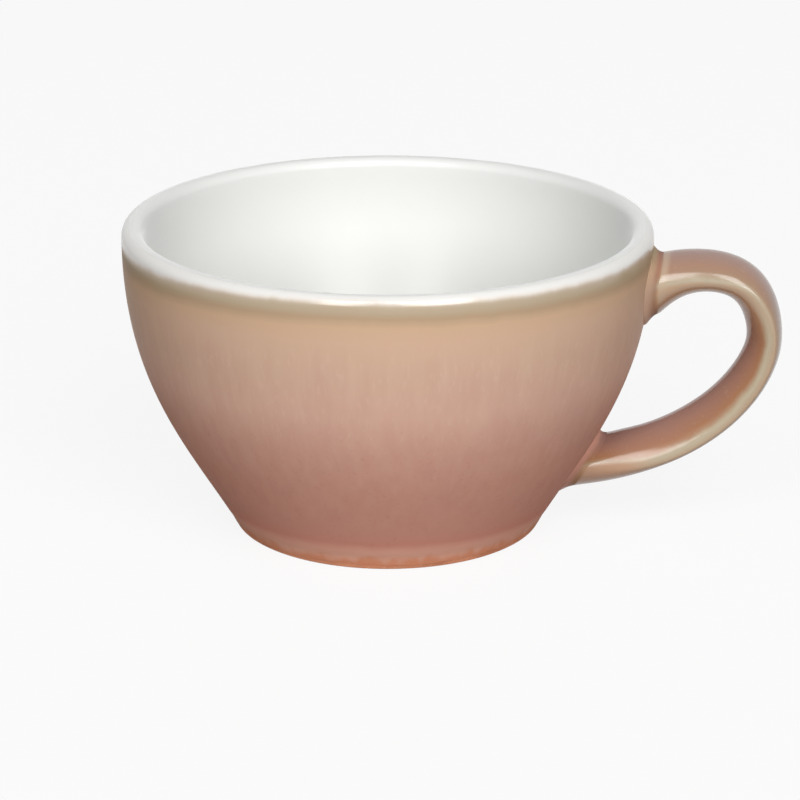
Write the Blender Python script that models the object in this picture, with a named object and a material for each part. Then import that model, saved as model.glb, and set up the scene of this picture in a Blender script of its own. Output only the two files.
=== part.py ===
"""Latte cup in glazed stoneware: a turned bowl, a luted loop handle and their coats of glaze.

Every piece is a closed solid of its own. The bowl stands on Z = 0 and its handle points along +X.
Run it with: blender --background --python part.py
"""

import math

import bmesh
import bpy
from mathutils import Vector

# Bowl outside, in metres
CUP_HEIGHT = 0.0624
RIM_RADIUS = 0.0530
LIP_RADIUS = 0.0021
FOOT_RADIUS = 0.0312
FOOT_HEIGHT = 0.0032
FOOT_DRAFT = 0.0016
LEDGE_WIDTH = 0.0003
LEDGE_RISE = 0.0003
WALL_START_LEAN = math.radians(30.5)
WALL_START_PULL = 0.0188
WALL_END_LEAN = math.radians(-0.7)
WALL_END_PULL = 0.0277

# Bowl inside and underside
WALL_THICKNESS = 0.0052
FLOOR_HEIGHT = 0.0076
FLOOR_CORNER_RADIUS = 0.0150
FOOT_RING_WIDTH = 0.0034
FOOT_EDGE_RADIUS = 0.0005
RECESS_DEPTH = 0.0025
RECESS_SLOPE = 0.0020

# Glaze coats and the clearances between pieces
GLAZE_THICKNESS = 0.0004
GLAZE_GAP = 0.0001
SEAT_GAP = 0.0003
BARE_FOOT = 0.0010
LIP_JOIN_ANGLE = math.radians(20)

# Handle centreline, seen from the side
HANDLE_REACH = 0.0257
UPPER_JOINT_DROP = 0.0101
UPPER_JOINT_LEAN = math.radians(12.5)
UPPER_JOINT_PULL = 0.0035
SHOULDER_PULL = 0.0190
OUTERMOST_DROP = 0.0212
SWEEP_PULL = 0.0031
LOWER_JOINT_PULL = 0.0344
LOWER_JOINT_LEAN = math.radians(10.9)
LOWER_JOINT_HEIGHT = 0.0120

# Handle section and its two joints
HANDLE_WIDTH = 0.0138
UPPER_THICKNESS = 0.0084
OUTER_THICKNESS = 0.0064
LOWER_THICKNESS = 0.0083
UPPER_RIDGE_SHIFT = 0.0004
OUTER_RIDGE_SHIFT = 0.0018
LOWER_RIDGE_SHIFT = 0.0012
SECTION_SQUARENESS = 2.2
HOLLOWNESS = 2.2
UPPER_FLARE = 0.0031
UPPER_FLARE_LENGTH = 0.0095
LOWER_FLARE = 0.0022
LOWER_FLARE_LENGTH = 0.0100
FILLET_LENGTH = 0.0022
FILLET_SPREAD = 0.0013

# How finely curves are cut into flat faces
TURN_STEPS = 48
WALL_STEPS = 9
LIP_STEPS = 6
CORNER_STEPS = 4
SECTION_POINTS = 16
HANDLE_STEPS = 30
FILLET_STEP = 0.03
CUTTER_STEPS = 96

COAT_DEPTH = GLAZE_THICKNESS + GLAZE_GAP


def clear_scene():
    """Remove whatever the scene starts with."""
    for old in list(bpy.data.objects):
        bpy.data.objects.remove(old, do_unlink=True)


def material(name, colour, roughness):
    """Return a plain Principled material; the colour is linear RGB."""
    made = bpy.data.materials.new(name)
    made.use_nodes = True
    shader = made.node_tree.nodes["Principled BSDF"]
    shader.inputs["Base Color"].default_value = (*colour, 1.0)
    shader.inputs["Roughness"].default_value = roughness
    shader.inputs["Metallic"].default_value = 0.0
    return made


def bezier(start, pull_a, pull_b, end, t):
    """Return the point at t on a cubic curve."""
    s = 1 - t
    return s**3 * start + 3 * s * s * t * pull_a + 3 * s * t * t * pull_b + t**3 * end


def arc(centre, radius, first, last, steps):
    """Return points on an arc, with both ends, angles measured from +R towards +Z."""
    angles = [first + (last - first) * k / steps for k in range(steps + 1)]
    return [centre + radius * Vector((math.cos(a), math.sin(a))) for a in angles]


def offset(points, distance):
    """Shift an outline to its right-hand side by a distance, keeping its corners mitred."""
    sides = []
    for a, b in zip(points, points[1:]):
        run = (b - a).normalized()
        sides.append(Vector((run.y, -run.x)))
    sides = [sides[0], *sides, sides[-1]]
    moved = []
    for point, before, after in zip(points, sides, sides[1:]):
        moved.append(point + distance * (before + after) / (1 + before.dot(after)))
    return moved


# Outlines of the glazed cup, as (radius, height) points

def wall_ends():
    """Return the four control points of the outer wall's curve."""
    start = Vector((FOOT_RADIUS + FOOT_DRAFT + LEDGE_WIDTH, FOOT_HEIGHT + LEDGE_RISE))
    end = Vector((RIM_RADIUS, CUP_HEIGHT - LIP_RADIUS))
    lean_in = Vector((math.sin(WALL_START_LEAN), math.cos(WALL_START_LEAN)))
    lean_out = Vector((math.sin(WALL_END_LEAN), math.cos(WALL_END_LEAN)))
    return start, start + WALL_START_PULL * lean_in, end - WALL_END_PULL * lean_out, end


def wall_point(t, depth=0.0):
    """Return a point of the wall's curve, or one that lies some depth inside it."""
    step = 1e-4
    here = bezier(*wall_ends(), t)
    run = (bezier(*wall_ends(), t + step) - bezier(*wall_ends(), t - step)).normalized()
    return here + depth * Vector((-run.y, run.x))


def wall_thickness(t):
    """Return the glazed wall's thickness, which tapers from the foot to the lip."""
    return WALL_THICKNESS + (2 * LIP_RADIUS - WALL_THICKNESS) * t


def lip_centre():
    """Return the middle of the lip's round."""
    return Vector((RIM_RADIUS - LIP_RADIUS, CUP_HEIGHT - LIP_RADIUS))


def foot_radius_at(height, depth=0.0):
    """Return the radius of the foot's leaning face at a height, or that of a face some depth inside it."""
    lean = FOOT_DRAFT / FOOT_HEIGHT
    return FOOT_RADIUS + lean * height - depth * math.hypot(1.0, lean)


def outside_outline(lowest, join_gap):
    """Return the glazed outside from a height on the foot's face up to the coats' join at the lip."""
    foot = [Vector((foot_radius_at(height), height)) for height in (lowest, FOOT_HEIGHT)]
    wall = [wall_point(k / WALL_STEPS) for k in range(WALL_STEPS)]
    join = LIP_JOIN_ANGLE - join_gap / (2 * LIP_RADIUS)
    return foot + wall + arc(lip_centre(), LIP_RADIUS, 0.0, join, 2)


def floor_corner():
    """Return the round between floor and wall: its centre and the wall's t where it ends."""
    low, high = 0.0, 1.0
    for _ in range(40):
        middle = (low + high) / 2
        centre = wall_point(middle, wall_thickness(middle) + FLOOR_CORNER_RADIUS)
        if centre.y < FLOOR_HEIGHT + FLOOR_CORNER_RADIUS:
            low = middle
        else:
            high = middle
    return centre, middle


def inside_outline(join_gap):
    """Return the glazed inside from the coats' join over the lip and down to the floor's middle."""
    join = LIP_JOIN_ANGLE + join_gap / (2 * LIP_RADIUS)
    lip = arc(lip_centre(), LIP_RADIUS, join, math.pi, LIP_STEPS)
    centre, lowest = floor_corner()
    spans = [1 - (1 - lowest) * k / WALL_STEPS for k in range(1, WALL_STEPS + 1)]
    wall = [wall_point(t, wall_thickness(t)) for t in spans]
    away = wall[-1] - centre
    corner = arc(centre, FLOOR_CORNER_RADIUS, math.atan2(away.y, away.x), -math.pi / 2, CORNER_STEPS)
    return lip + wall + corner[1:] + [Vector((0.0, FLOOR_HEIGHT))]


def foot_underside(face_radius):
    """Return the clay underside from the middle of the recess to the foot ring's outer face."""
    ceiling = RECESS_DEPTH + COAT_DEPTH
    inner = FOOT_RADIUS - COAT_DEPTH - FOOT_RING_WIDTH
    edge = FOOT_EDGE_RADIUS
    round_in = arc(Vector((inner + edge, edge)), edge, math.pi, 1.5 * math.pi, 2)
    round_out = arc(Vector((face_radius - edge, edge)), edge, -math.pi / 2, 0.0, 2)
    return [Vector((0.0, ceiling)), Vector((inner - RECESS_SLOPE, ceiling)), *round_in, *round_out]


# Solids

def add_object(name, mesh_data, finish, parent):
    """Make an object from a bmesh, shade it smooth and hang it on its parent."""
    bmesh.ops.remove_doubles(mesh_data, verts=mesh_data.verts, dist=1e-7)
    bmesh.ops.recalc_face_normals(mesh_data, faces=mesh_data.faces)
    mesh = bpy.data.meshes.new(name)
    mesh_data.to_mesh(mesh)
    mesh_data.free()
    mesh.shade_smooth()
    mesh.set_sharp_from_angle(angle=math.radians(40))
    if finish:
        mesh.materials.append(finish)
    made = bpy.data.objects.new(name, mesh)
    bpy.context.scene.collection.objects.link(made)
    made.parent = parent
    return made


def turned(name, outline, finish, parent, closed, steps=TURN_STEPS):
    """Spin an outline of (radius, height) points about Z into a solid."""
    mesh_data = bmesh.new()
    verts = [mesh_data.verts.new((p.x, 0.0, p.y)) for p in outline]
    edges = [mesh_data.edges.new(pair) for pair in zip(verts, verts[1:])]
    if closed:
        edges.append(mesh_data.edges.new((verts[-1], verts[0])))
    bmesh.ops.spin(
        mesh_data, geom=verts + edges, cent=(0, 0, 0), axis=(0, 0, 1), angle=2 * math.pi, steps=steps,
        use_merge=True, use_duplicate=False,
    )
    return add_object(name, mesh_data, finish, parent)


def cut(piece, operation, tool):
    """Trim a piece with a tool that stays out of the model."""
    tool.hide_render = True
    tool.display_type = "WIRE"
    trim = piece.modifiers.new(f"{operation.lower()}_{tool.name}", "BOOLEAN")
    trim.operation = operation
    trim.object = tool


# Handle

def height_on_wall(height):
    """Return the point of the outer wall at a height."""
    low, high = 0.0, 1.0
    for _ in range(40):
        middle = (low + high) / 2
        if wall_point(middle).y < height:
            low = middle
        else:
            high = middle
    return wall_point(middle)


def wall_distance(point):
    """Return how far a point at the handle's side of the bowl stands off the outer wall."""
    here = Vector((math.hypot(point.x, point.y), point.z))
    samples = [wall_point(k / CUTTER_STEPS) for k in range(CUTTER_STEPS + 1)]
    nearest = min(range(len(samples)), key=lambda k: (samples[k] - here).length)
    run = samples[min(nearest + 1, CUTTER_STEPS)] - samples[max(nearest - 1, 0)]
    return (here - samples[nearest]).dot(Vector((run.y, -run.x)).normalized())


def handle_spans():
    """Return the control points of the handle's upper and lower curves, as (radius, height)."""
    upper = height_on_wall(CUP_HEIGHT - UPPER_JOINT_DROP)
    lower = height_on_wall(LOWER_JOINT_HEIGHT)
    outermost = Vector((RIM_RADIUS + HANDLE_REACH - OUTER_THICKNESS / 2, CUP_HEIGHT - OUTERMOST_DROP))
    upper_lean = Vector((math.cos(UPPER_JOINT_LEAN), math.sin(UPPER_JOINT_LEAN)))
    lower_lean = Vector((math.cos(LOWER_JOINT_LEAN), math.sin(LOWER_JOINT_LEAN)))
    up = Vector((0, 1))
    return (
        (upper, upper + UPPER_JOINT_PULL * upper_lean, outermost + SHOULDER_PULL * up, outermost),
        (outermost, outermost - SWEEP_PULL * up, lower + LOWER_JOINT_PULL * lower_lean, lower),
    )


def handle_station(u):
    """Return centre, outward normal, thickness and ridge shift at u: 0 upper joint, 1 outermost, 2 lower.

    Past either joint the handle runs straight on into the bowl, by its reach for each unit of u.
    """
    step = 1e-4
    span = handle_spans()[0 if u < 1 else 1]
    inside = min(max(u, 0.0), 2.0)
    t = inside if u < 1 else inside - 1
    run = bezier(*span, min(t + step, 1.0)) - bezier(*span, max(t - step, 0.0))
    run.normalize()
    centre = bezier(*span, t) + (u - inside) * HANDLE_REACH * run
    joint = (UPPER_THICKNESS, UPPER_RIDGE_SHIFT) if u < 1 else (LOWER_THICKNESS, LOWER_RIDGE_SHIFT)
    thickness = OUTER_THICKNESS + (joint[0] - OUTER_THICKNESS) * abs(inside - 1)
    shift = OUTER_RIDGE_SHIFT + (joint[1] - OUTER_RIDGE_SHIFT) * abs(inside - 1)
    return Vector((centre.x, 0, centre.y)), Vector((-run.y, 0, run.x)), thickness, shift


def fade(distance, length):
    """Return 1 at the wall, falling along a hollow curve to 0 at a length away from it."""
    return max(0.0, 1 - max(0.0, distance) / length) ** HOLLOWNESS


def section(u, grow, fillet=False):
    """Return the handle's section at u as a ring of points, grown all round by a distance.

    Its widest line lies nearer the outer side, which is flat, than the round finger side. A fillet's
    section also spreads towards the wall.
    """
    centre, normal, thickness, shift = handle_station(u)
    if u < 1:
        flare = UPPER_FLARE * fade(wall_distance(centre), UPPER_FLARE_LENGTH)
    else:
        flare = LOWER_FLARE * fade(wall_distance(centre), LOWER_FLARE_LENGTH)
    ring = []
    for k in range(SECTION_POINTS):
        angle = 2 * math.pi * (k + 0.5) / SECTION_POINTS
        across, along = math.cos(angle), math.sin(angle)
        power = 2 / SECTION_SQUARENESS
        across = math.copysign(abs(across) ** power, across)
        along = math.copysign(abs(along) ** power, along)
        half = thickness / 2 + (shift + flare if across < 0 else -shift)

        def place(extra):
            side = Vector((0, along * (HANDLE_WIDTH / 2 + extra), 0))
            return centre + normal * (shift + across * (half + extra)) + side

        spread = FILLET_SPREAD * fade(wall_distance(place(grow)), FILLET_LENGTH) if fillet else 0.0
        ring.append(place(grow + spread))
    return ring


def swept(name, stations, finish, parent, grow, bore=None, fillet=False):
    """Sweep the handle's section along stations; with a bore, as a tube with that inner growth."""
    mesh_data = bmesh.new()
    skins = [[section(u, grow, fillet) for u in stations]]
    if bore is not None:
        skins.append([section(u, bore) for u in stations])
    made = [[[mesh_data.verts.new(p) for p in ring] for ring in skin] for skin in skins]
    corners = range(SECTION_POINTS)
    for skin in made:
        for ring, following in zip(skin, skin[1:]):
            for k in corners:
                m = (k + 1) % SECTION_POINTS
                mesh_data.faces.new((ring[k], ring[m], following[m], following[k]))
    for end in (0, -1):
        if bore is None:
            mesh_data.faces.new(made[0][end])
            continue
        for k in corners:
            m = (k + 1) % SECTION_POINTS
            mesh_data.faces.new((made[0][end][k], made[0][end][m], made[1][end][m], made[1][end][k]))
    return add_object(name, mesh_data, finish, parent)


def joint_run(joint):
    """Return the values of u that a fillet at joint 0 or 2 is swept along, from deep in the bowl outwards."""
    away = FILLET_STEP if joint == 0 else -FILLET_STEP
    run = [joint - tail_length() * math.copysign(1, away), joint]
    while wall_distance(handle_station(run[-1])[0]) < FILLET_LENGTH + LOWER_THICKNESS:
        run.append(run[-1] + away)
    return run


def tail_length():
    """Return how far, in u, the handle runs on into the bowl before it is trimmed to the wall."""
    return 2 * max(UPPER_THICKNESS, LOWER_THICKNESS) / HANDLE_REACH


def handle_run():
    """Return the values of u along the whole handle, closer together near its joints."""
    eased = [1 - math.cos(math.pi * k / HANDLE_STEPS) for k in range(HANDLE_STEPS + 1)]
    return [-tail_length(), *eased, 2 + tail_length()]


def bowl_tool(name, distance, parent):
    """Return a cutting tool: the bowl filled solid, its wall moved out and run on straight up and down."""
    wall = [wall_point(k / TURN_STEPS) for k in range(TURN_STEPS + 1)]
    grown = offset(wall, distance)
    low, high = -CUP_HEIGHT, 2 * CUP_HEIGHT
    bottom = [Vector((0, low)), Vector((grown[0].x, low))]
    top = [Vector((grown[-1].x, high)), Vector((0, high))]
    return turned(name, [*bottom, *grown, *top], None, parent, closed=False, steps=CUTTER_STEPS)


def build_bowl(axis, clay, liner, reactive):
    """Make the clay bowl and the three coats of glaze on it."""
    outside = outside_outline(FOOT_EDGE_RADIUS, 0.0)
    clay_outside = offset(outside, -COAT_DEPTH)
    clay_inside = offset(inside_outline(0.0), -COAT_DEPTH)
    face_radius = foot_radius_at(FOOT_EDGE_RADIUS, COAT_DEPTH)
    clay_outline = foot_underside(face_radius) + clay_outside[1:] + clay_inside[1:]
    turned("bowl_body", clay_outline, clay, axis, closed=False)

    coat = outside_outline(BARE_FOOT, SEAT_GAP)
    outer = turned("outer_glaze", coat + offset(coat, -GLAZE_THICKNESS)[::-1], reactive, axis, closed=True)

    lining = inside_outline(SEAT_GAP)
    turned("liner_glaze", lining[::-1] + offset(lining, -GLAZE_THICKNESS), liner, axis, closed=False)

    rim = FOOT_RADIUS - COAT_DEPTH - FOOT_RING_WIDTH - RECESS_SLOPE - SEAT_GAP
    low, high = RECESS_DEPTH, RECESS_DEPTH + GLAZE_THICKNESS
    disc = [Vector((0, low)), Vector((rim, low)), Vector((rim, high)), Vector((0, high))]
    turned("base_glaze", disc, reactive, axis, closed=False)
    return outer


def build_handle(axis, clay, reactive, outer_coat):
    """Make the handle, its coat and its two slip fillets, and open the bowl's coat where they sit."""
    seat = bowl_tool("seat_tool", SEAT_GAP - COAT_DEPTH, axis)
    zone = bowl_tool("fillet_tool", FILLET_LENGTH, axis)
    beyond = bowl_tool("coat_tool", FILLET_LENGTH + SEAT_GAP, axis)

    handle = swept("handle", handle_run(), clay, axis, -COAT_DEPTH)
    cut(handle, "DIFFERENCE", seat)
    coat = swept("handle_glaze", handle_run(), reactive, axis, 0.0, bore=-GLAZE_THICKNESS)
    cut(coat, "DIFFERENCE", beyond)

    for joint, name in ((0, "upper_slip_fillet"), (2, "lower_slip_fillet")):
        run = joint_run(joint)
        fillet = swept(name, run, reactive, axis, 0.0, bore=-GLAZE_THICKNESS, fillet=True)
        cut(fillet, "DIFFERENCE", seat)
        cut(fillet, "INTERSECT", zone)
        port = swept(f"{name}_port", run, None, axis, FILLET_SPREAD + SEAT_GAP)
        cut(outer_coat, "DIFFERENCE", port)


def main():
    """Build the cup with its overall length centred on the origin."""
    clear_scene()
    clay = material("stoneware", (0.50, 0.21, 0.10), 0.75)
    liner = material("white_liner", (0.88, 0.88, 0.85), 0.12)
    reactive = material("reactive_glaze", (0.56, 0.34, 0.25), 0.18)

    widest = max(p.x for p in outside_outline(BARE_FOOT, SEAT_GAP))
    axis = bpy.data.objects.new("bowl_axis", None)
    axis.location.x = (widest - RIM_RADIUS - HANDLE_REACH) / 2
    bpy.context.scene.collection.objects.link(axis)

    outer_coat = build_bowl(axis, clay, liner, reactive)
    build_handle(axis, clay, reactive, outer_coat)


main()
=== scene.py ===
"""Looks of a glazed stoneware latte cup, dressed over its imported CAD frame.

The bowl's pieces are turned from outlines, the handle is drawn out ring by ring, and each coat of
glaze is a skin of its own. Sizes are in metres and angles in radians, in the frame's own axes.
"""

from __future__ import annotations

import bisect
import logging
import math
from dataclasses import dataclass
from enum import Enum
from typing import Any, Callable, Mapping, NamedTuple, Optional, Sequence, Union

import bpy
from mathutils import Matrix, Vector

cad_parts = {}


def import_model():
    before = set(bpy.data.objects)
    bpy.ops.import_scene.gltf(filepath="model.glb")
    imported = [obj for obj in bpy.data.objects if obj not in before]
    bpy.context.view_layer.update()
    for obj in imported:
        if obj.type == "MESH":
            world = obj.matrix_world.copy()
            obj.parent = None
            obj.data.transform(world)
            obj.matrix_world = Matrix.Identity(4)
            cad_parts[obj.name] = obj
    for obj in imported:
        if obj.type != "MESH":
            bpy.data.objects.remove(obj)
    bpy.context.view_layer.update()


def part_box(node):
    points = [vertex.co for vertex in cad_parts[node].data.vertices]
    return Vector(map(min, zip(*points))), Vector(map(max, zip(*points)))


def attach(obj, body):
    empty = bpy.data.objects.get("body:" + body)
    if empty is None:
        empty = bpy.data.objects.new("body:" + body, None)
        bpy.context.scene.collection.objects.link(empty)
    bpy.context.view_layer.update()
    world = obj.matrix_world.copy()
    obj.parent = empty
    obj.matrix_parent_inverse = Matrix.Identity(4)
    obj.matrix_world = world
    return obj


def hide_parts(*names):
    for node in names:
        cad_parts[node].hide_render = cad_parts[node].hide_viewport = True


LOG = logging.getLogger("latte_cup")
BODY = "root"
LOOK_HEIGHT = 0.035
SLOPE_STEP = 1e-4
HALVINGS = 40
NOISE_MIDDLE = 0.5
WHITE = (1.0, 1.0, 1.0, 1.0)

Colour = tuple[float, float, float]
Span = tuple[float, float]
Zone = tuple[Span, Span]
Feed = Union["Signal", float, Sequence[float]]
Feeds = Mapping[Union[str, int], Feed]


class Slot(Enum):
    """The names of the material slots."""

    STONEWARE = "stoneware"
    LINER = "liner_glaze"
    REACTIVE = "reactive_glaze"


class Joint(Enum):
    """The handle's two joints, each with a place along the handle inside the bowl and one clear of it."""

    UPPER = (-0.2, 0.9)
    LOWER = (2.15, 1.1)


# Shader sheets


class Band(NamedTuple):
    """The colour of the glaze at a height on the bowl or a place on the handle."""

    place: float
    colour: Colour


class Grain(NamedTuple):
    """A noise: lumps to the metre, detail, and the share of the height that counts.

    A small share draws the lumps out upright.
    """

    scale: float
    detail: float = 2.0
    upright: float = 1.0


class Mottle(NamedTuple):
    """Spots of a colour: their noise, the span of it over which they come up, and their strength."""

    colour: Colour
    grain: Grain
    span: Span
    strength: float = 1.0


class Relief(NamedTuple):
    """The unevenness of a surface: its noise, its depth and its strength."""

    grain: Grain
    depth: float
    strength: float


class Signal:
    """One output of a shader node, which Python's operators can work on."""

    def __init__(self, sheet: Sheet, socket: bpy.types.NodeSocket) -> None:
        """Wrap a socket of a sheet."""
        self.sheet = sheet
        self.socket = socket

    def sibling(self, name: str) -> Signal:
        """Return another output of the same node."""
        return Signal(self.sheet, self.socket.node.outputs[name])

    def _math(self, operation: str, first: Feed, second: Feed) -> Signal:
        """Return the result of a Math node."""
        return self.sheet.node("ShaderNodeMath", {"operation": operation}, {0: first, 1: second})

    def __add__(self, other: Feed) -> Signal:
        """Return self + other."""
        return self._math("ADD", self, other)

    __radd__ = __add__

    def __sub__(self, other: Feed) -> Signal:
        """Return self - other."""
        return self._math("SUBTRACT", self, other)

    def __rsub__(self, other: Feed) -> Signal:
        """Return other - self."""
        return self._math("SUBTRACT", other, self)

    def __mul__(self, other: Feed) -> Signal:
        """Return self * other."""
        return self._math("MULTIPLY", self, other)

    __rmul__ = __mul__

    def __truediv__(self, other: Feed) -> Signal:
        """Return self / other."""
        return self._math("DIVIDE", self, other)

    def __rtruediv__(self, other: Feed) -> Signal:
        """Return other / self."""
        return self._math("DIVIDE", other, self)


class Sheet:
    """The node sheet of one finish, the floor or the world."""

    def __init__(self, tree: bpy.types.NodeTree) -> None:
        """Start with an empty sheet."""
        self.tree = tree
        tree.nodes.clear()

    def node(
        self,
        kind: str,
        settings: Optional[Mapping[str, Any]] = None,
        feeds: Optional[Feeds] = None,
        out: Union[str, int] = 0,
    ) -> Signal:
        """Add a node.

        Args:
            kind: The node's type.
            settings: Its properties, with a ramp's stops among them. They are set first.
            feeds: A value or a link for each socket, by name or number.
            out: The output to return.

        Returns:
            The chosen output.
        """
        made = self.tree.nodes.new(kind)
        for name, value in (settings or {}).items():
            if name == "stops":
                self._set_stops(made.color_ramp, value)
            else:
                setattr(made, name, value)
        for key, value in (feeds or {}).items():
            if isinstance(value, Signal):
                self.tree.links.new(value.socket, made.inputs[key])
            else:
                made.inputs[key].default_value = value
        return Signal(self, made.outputs[out])

    def close(self, kind: str, surface: Signal) -> None:
        """Join a shader to the sheet's output node of a kind."""
        output = self.tree.nodes.new(kind)
        self.tree.links.new(surface.socket, output.inputs["Surface"])

    @staticmethod
    def _set_stops(ramp: bpy.types.ColorRamp, stops: Sequence[Band]) -> None:
        """Give a ramp its stops.

        Args:
            ramp: The ramp.
            stops: Its bands, with places from 0 to 1.
        """
        while len(ramp.elements) < len(stops):
            ramp.elements.new(1.0)
        for element, band in zip(ramp.elements, stops):
            element.position = band.place
            element.color = rgba(band.colour)

    def place(self) -> Signal:
        """Return the point on the piece, in metres."""
        return self.node("ShaderNodeTexCoord", out="Object")

    def height(self, place: Signal) -> Signal:
        """Return a point's height, with its X and Y as siblings."""
        return self.node("ShaderNodeSeparateXYZ", None, {0: place}, out="Z")

    def mark(self, name: str) -> Signal:
        """Return a number that was written to the piece's points."""
        return self.node("ShaderNodeAttribute", {"attribute_name": name}, out="Fac")

    def seen(self) -> Signal:
        """Return 1 for a ray that shows a surface, directly or in a gloss, and 0 for one that lights."""
        path = self.node("ShaderNodeLightPath", out="Is Camera Ray")
        return path + path.sibling("Is Glossy Ray") + path.sibling("Is Transmission Ray")

    def noise(self, place: Signal, grain: Grain) -> Signal:
        """Return soft noise.

        Args:
            place: The point on the piece.
            grain: What the noise is like.

        Returns:
            A number from 0 to 1.
        """
        if grain.upright != 1.0:
            stretch = (1.0, 1.0, grain.upright)
            place = self.node("ShaderNodeVectorMath", {"operation": "MULTIPLY"}, {0: place, 1: stretch})
        feeds = {"Vector": place, "Scale": grain.scale, "Detail": grain.detail}
        return self.node("ShaderNodeTexNoise", None, feeds)

    def waver(self, place: Signal, grain: Grain, size: float, middle: float = NOISE_MIDDLE) -> Signal:
        """Return noise of a size that goes to both sides of 0."""
        return size * (self.noise(place, grain) - middle)

    def ramp(self, value: Signal, bands: Sequence[Band]) -> Signal:
        """Return the colour that a value picks from a row of bands."""
        return self.node("ShaderNodeValToRGB", {"stops": bands}, {"Fac": value})

    def step(self, value: Signal, low: float, high: float) -> Signal:
        """Return a soft step from 0 below low to 1 above high; it falls where low is the larger."""
        feeds = {"Value": value, "From Min": low, "From Max": high}
        return self.node("ShaderNodeMapRange", {"interpolation_type": "SMOOTHSTEP"}, feeds)

    def within(self, value: Signal, zone: Zone) -> Signal:
        """Return 1 within a zone, which has a rising and a falling step, and 0 outside it."""
        rise, fall = zone
        return self.step(value, *rise) * self.step(value, *fall)

    def mix(self, factor: Feed, under: Feed, over: Feed, blend: str = "MIX") -> Signal:
        """Return two colours mixed."""
        settings = {"data_type": "RGBA", "blend_type": blend}
        # The node's colour sockets come after those for numbers and vectors, under the same names.
        return self.node("ShaderNodeMix", settings, {0: factor, 6: under, 7: over}, out=2)

    def spots(self, place: Signal, mottle: Mottle) -> Signal:
        """Return 1 in the middle of the spots and 0 between them."""
        return self.step(self.noise(place, mottle.grain), *mottle.span)

    def spotted(self, under: Feed, place: Signal, mottle: Mottle, share: Feed = 1.0) -> Signal:
        """Return a colour with spots on it, at a share of their strength."""
        factor = self.spots(place, mottle) * (mottle.strength * share)
        return self.mix(factor, under, rgba(mottle.colour))

    def bump(self, height: Signal, relief: Relief) -> Signal:
        """Return a normal that follows a noise, with a relief's depth and strength."""
        feeds = {"Height": height, "Distance": relief.depth, "Strength": relief.strength}
        return self.node("ShaderNodeBump", None, feeds)


def rgba(colour: Colour) -> tuple[float, float, float, float]:
    """Return a colour with full alpha."""
    return (*colour, 1.0)


# Finishes


class Finish:
    """What a material is made from."""

    name: str

    def shader(self, sheet: Sheet) -> Signal:
        """Draw the finish's shader on an empty sheet and return it."""
        raise NotImplementedError

    def make(self) -> bpy.types.Material:
        """Make the material.

        Returns:
            The material, which has the finish's name.
        """
        made = bpy.data.materials.new(self.name)
        made.use_nodes = True
        sheet = Sheet(made.node_tree)
        sheet.close("ShaderNodeOutputMaterial", self.shader(sheet))
        return made


@dataclass(frozen=True)
class StonewareFinish(Finish):
    """Bare fired clay: warm orange brown, dry, with toasted patches and fine light grains."""

    name: str = "bare_stoneware"
    colour: Colour = (0.70, 0.295, 0.165)
    toast: Mottle = Mottle((0.58, 0.230, 0.120), Grain(120.0, 3.0), (0.40, 0.66))
    grains: Mottle = Mottle((0.76, 0.42, 0.27), Grain(2600.0, 1.0), (0.60, 0.68), 0.5)
    tooth: Relief = Relief(Grain(1800.0, 3.0), 0.0001, 0.35)
    roughness: float = 0.8
    grain_smoothness: float = 0.1

    def shader(self, sheet: Sheet) -> Signal:
        """Return the clay's shader.

        Args:
            sheet: The finish's empty sheet.

        Returns:
            The shader's output.
        """
        place = sheet.place()
        grain = sheet.spots(place, self.grains)
        colour = sheet.spotted(rgba(self.colour), place, self.toast)
        feeds = {
            "Base Color": sheet.mix(grain * self.grains.strength, colour, rgba(self.grains.colour)),
            "Roughness": self.roughness - self.grain_smoothness * grain,
            "Normal": sheet.bump(sheet.noise(place, self.tooth.grain), self.tooth),
        }
        return sheet.node("ShaderNodeBsdfPrincipled", None, feeds)


@dataclass(frozen=True)
class LinerFinish(Finish):
    """White liner glaze, with painted shade that darkens it towards the bottom of the inside."""

    name: str = "white_liner"
    colour: Colour = (0.850, 0.855, 0.832)
    # Painted shade: the liner's colour darkens from 50 mm down to 30 mm above the table.
    painted_shade_colour: Colour = (0.715, 0.718, 0.690)
    painted_shade_zone: Span = (0.050, 0.030)
    clouds: Grain = Grain(45.0)
    cloud_waver: float = 0.004
    roughness: float = 0.32
    cloud_roughness: float = 0.06
    ripple: Relief = Relief(Grain(160.0, 1.0), 0.0004, 0.05)
    sheen: float = 0.8
    sheen_roughness: float = 0.4
    ior: float = 1.5

    def shader(self, sheet: Sheet) -> Signal:
        """Return the liner's shader.

        Args:
            sheet: The finish's empty sheet.

        Returns:
            The shader's output.
        """
        place = sheet.place()
        cloud = sheet.noise(place, self.clouds)
        # Painted shade: depth here is how far down the inside the darker painted shade has come.
        level = sheet.height(place) + self.cloud_waver * (cloud - NOISE_MIDDLE)
        depth = sheet.step(level, *self.painted_shade_zone)
        feeds = {
            "Base Color": sheet.mix(depth, rgba(self.colour), rgba(self.painted_shade_colour)),
            "Roughness": self.roughness + self.cloud_roughness * cloud,
            "Normal": sheet.bump(sheet.noise(place, self.ripple.grain), self.ripple),
            "Sheen Weight": self.sheen,
            "Sheen Roughness": self.sheen_roughness,
            "IOR": self.ior,
        }
        return sheet.node("ShaderNodeBsdfPrincipled", None, feeds)


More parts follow.
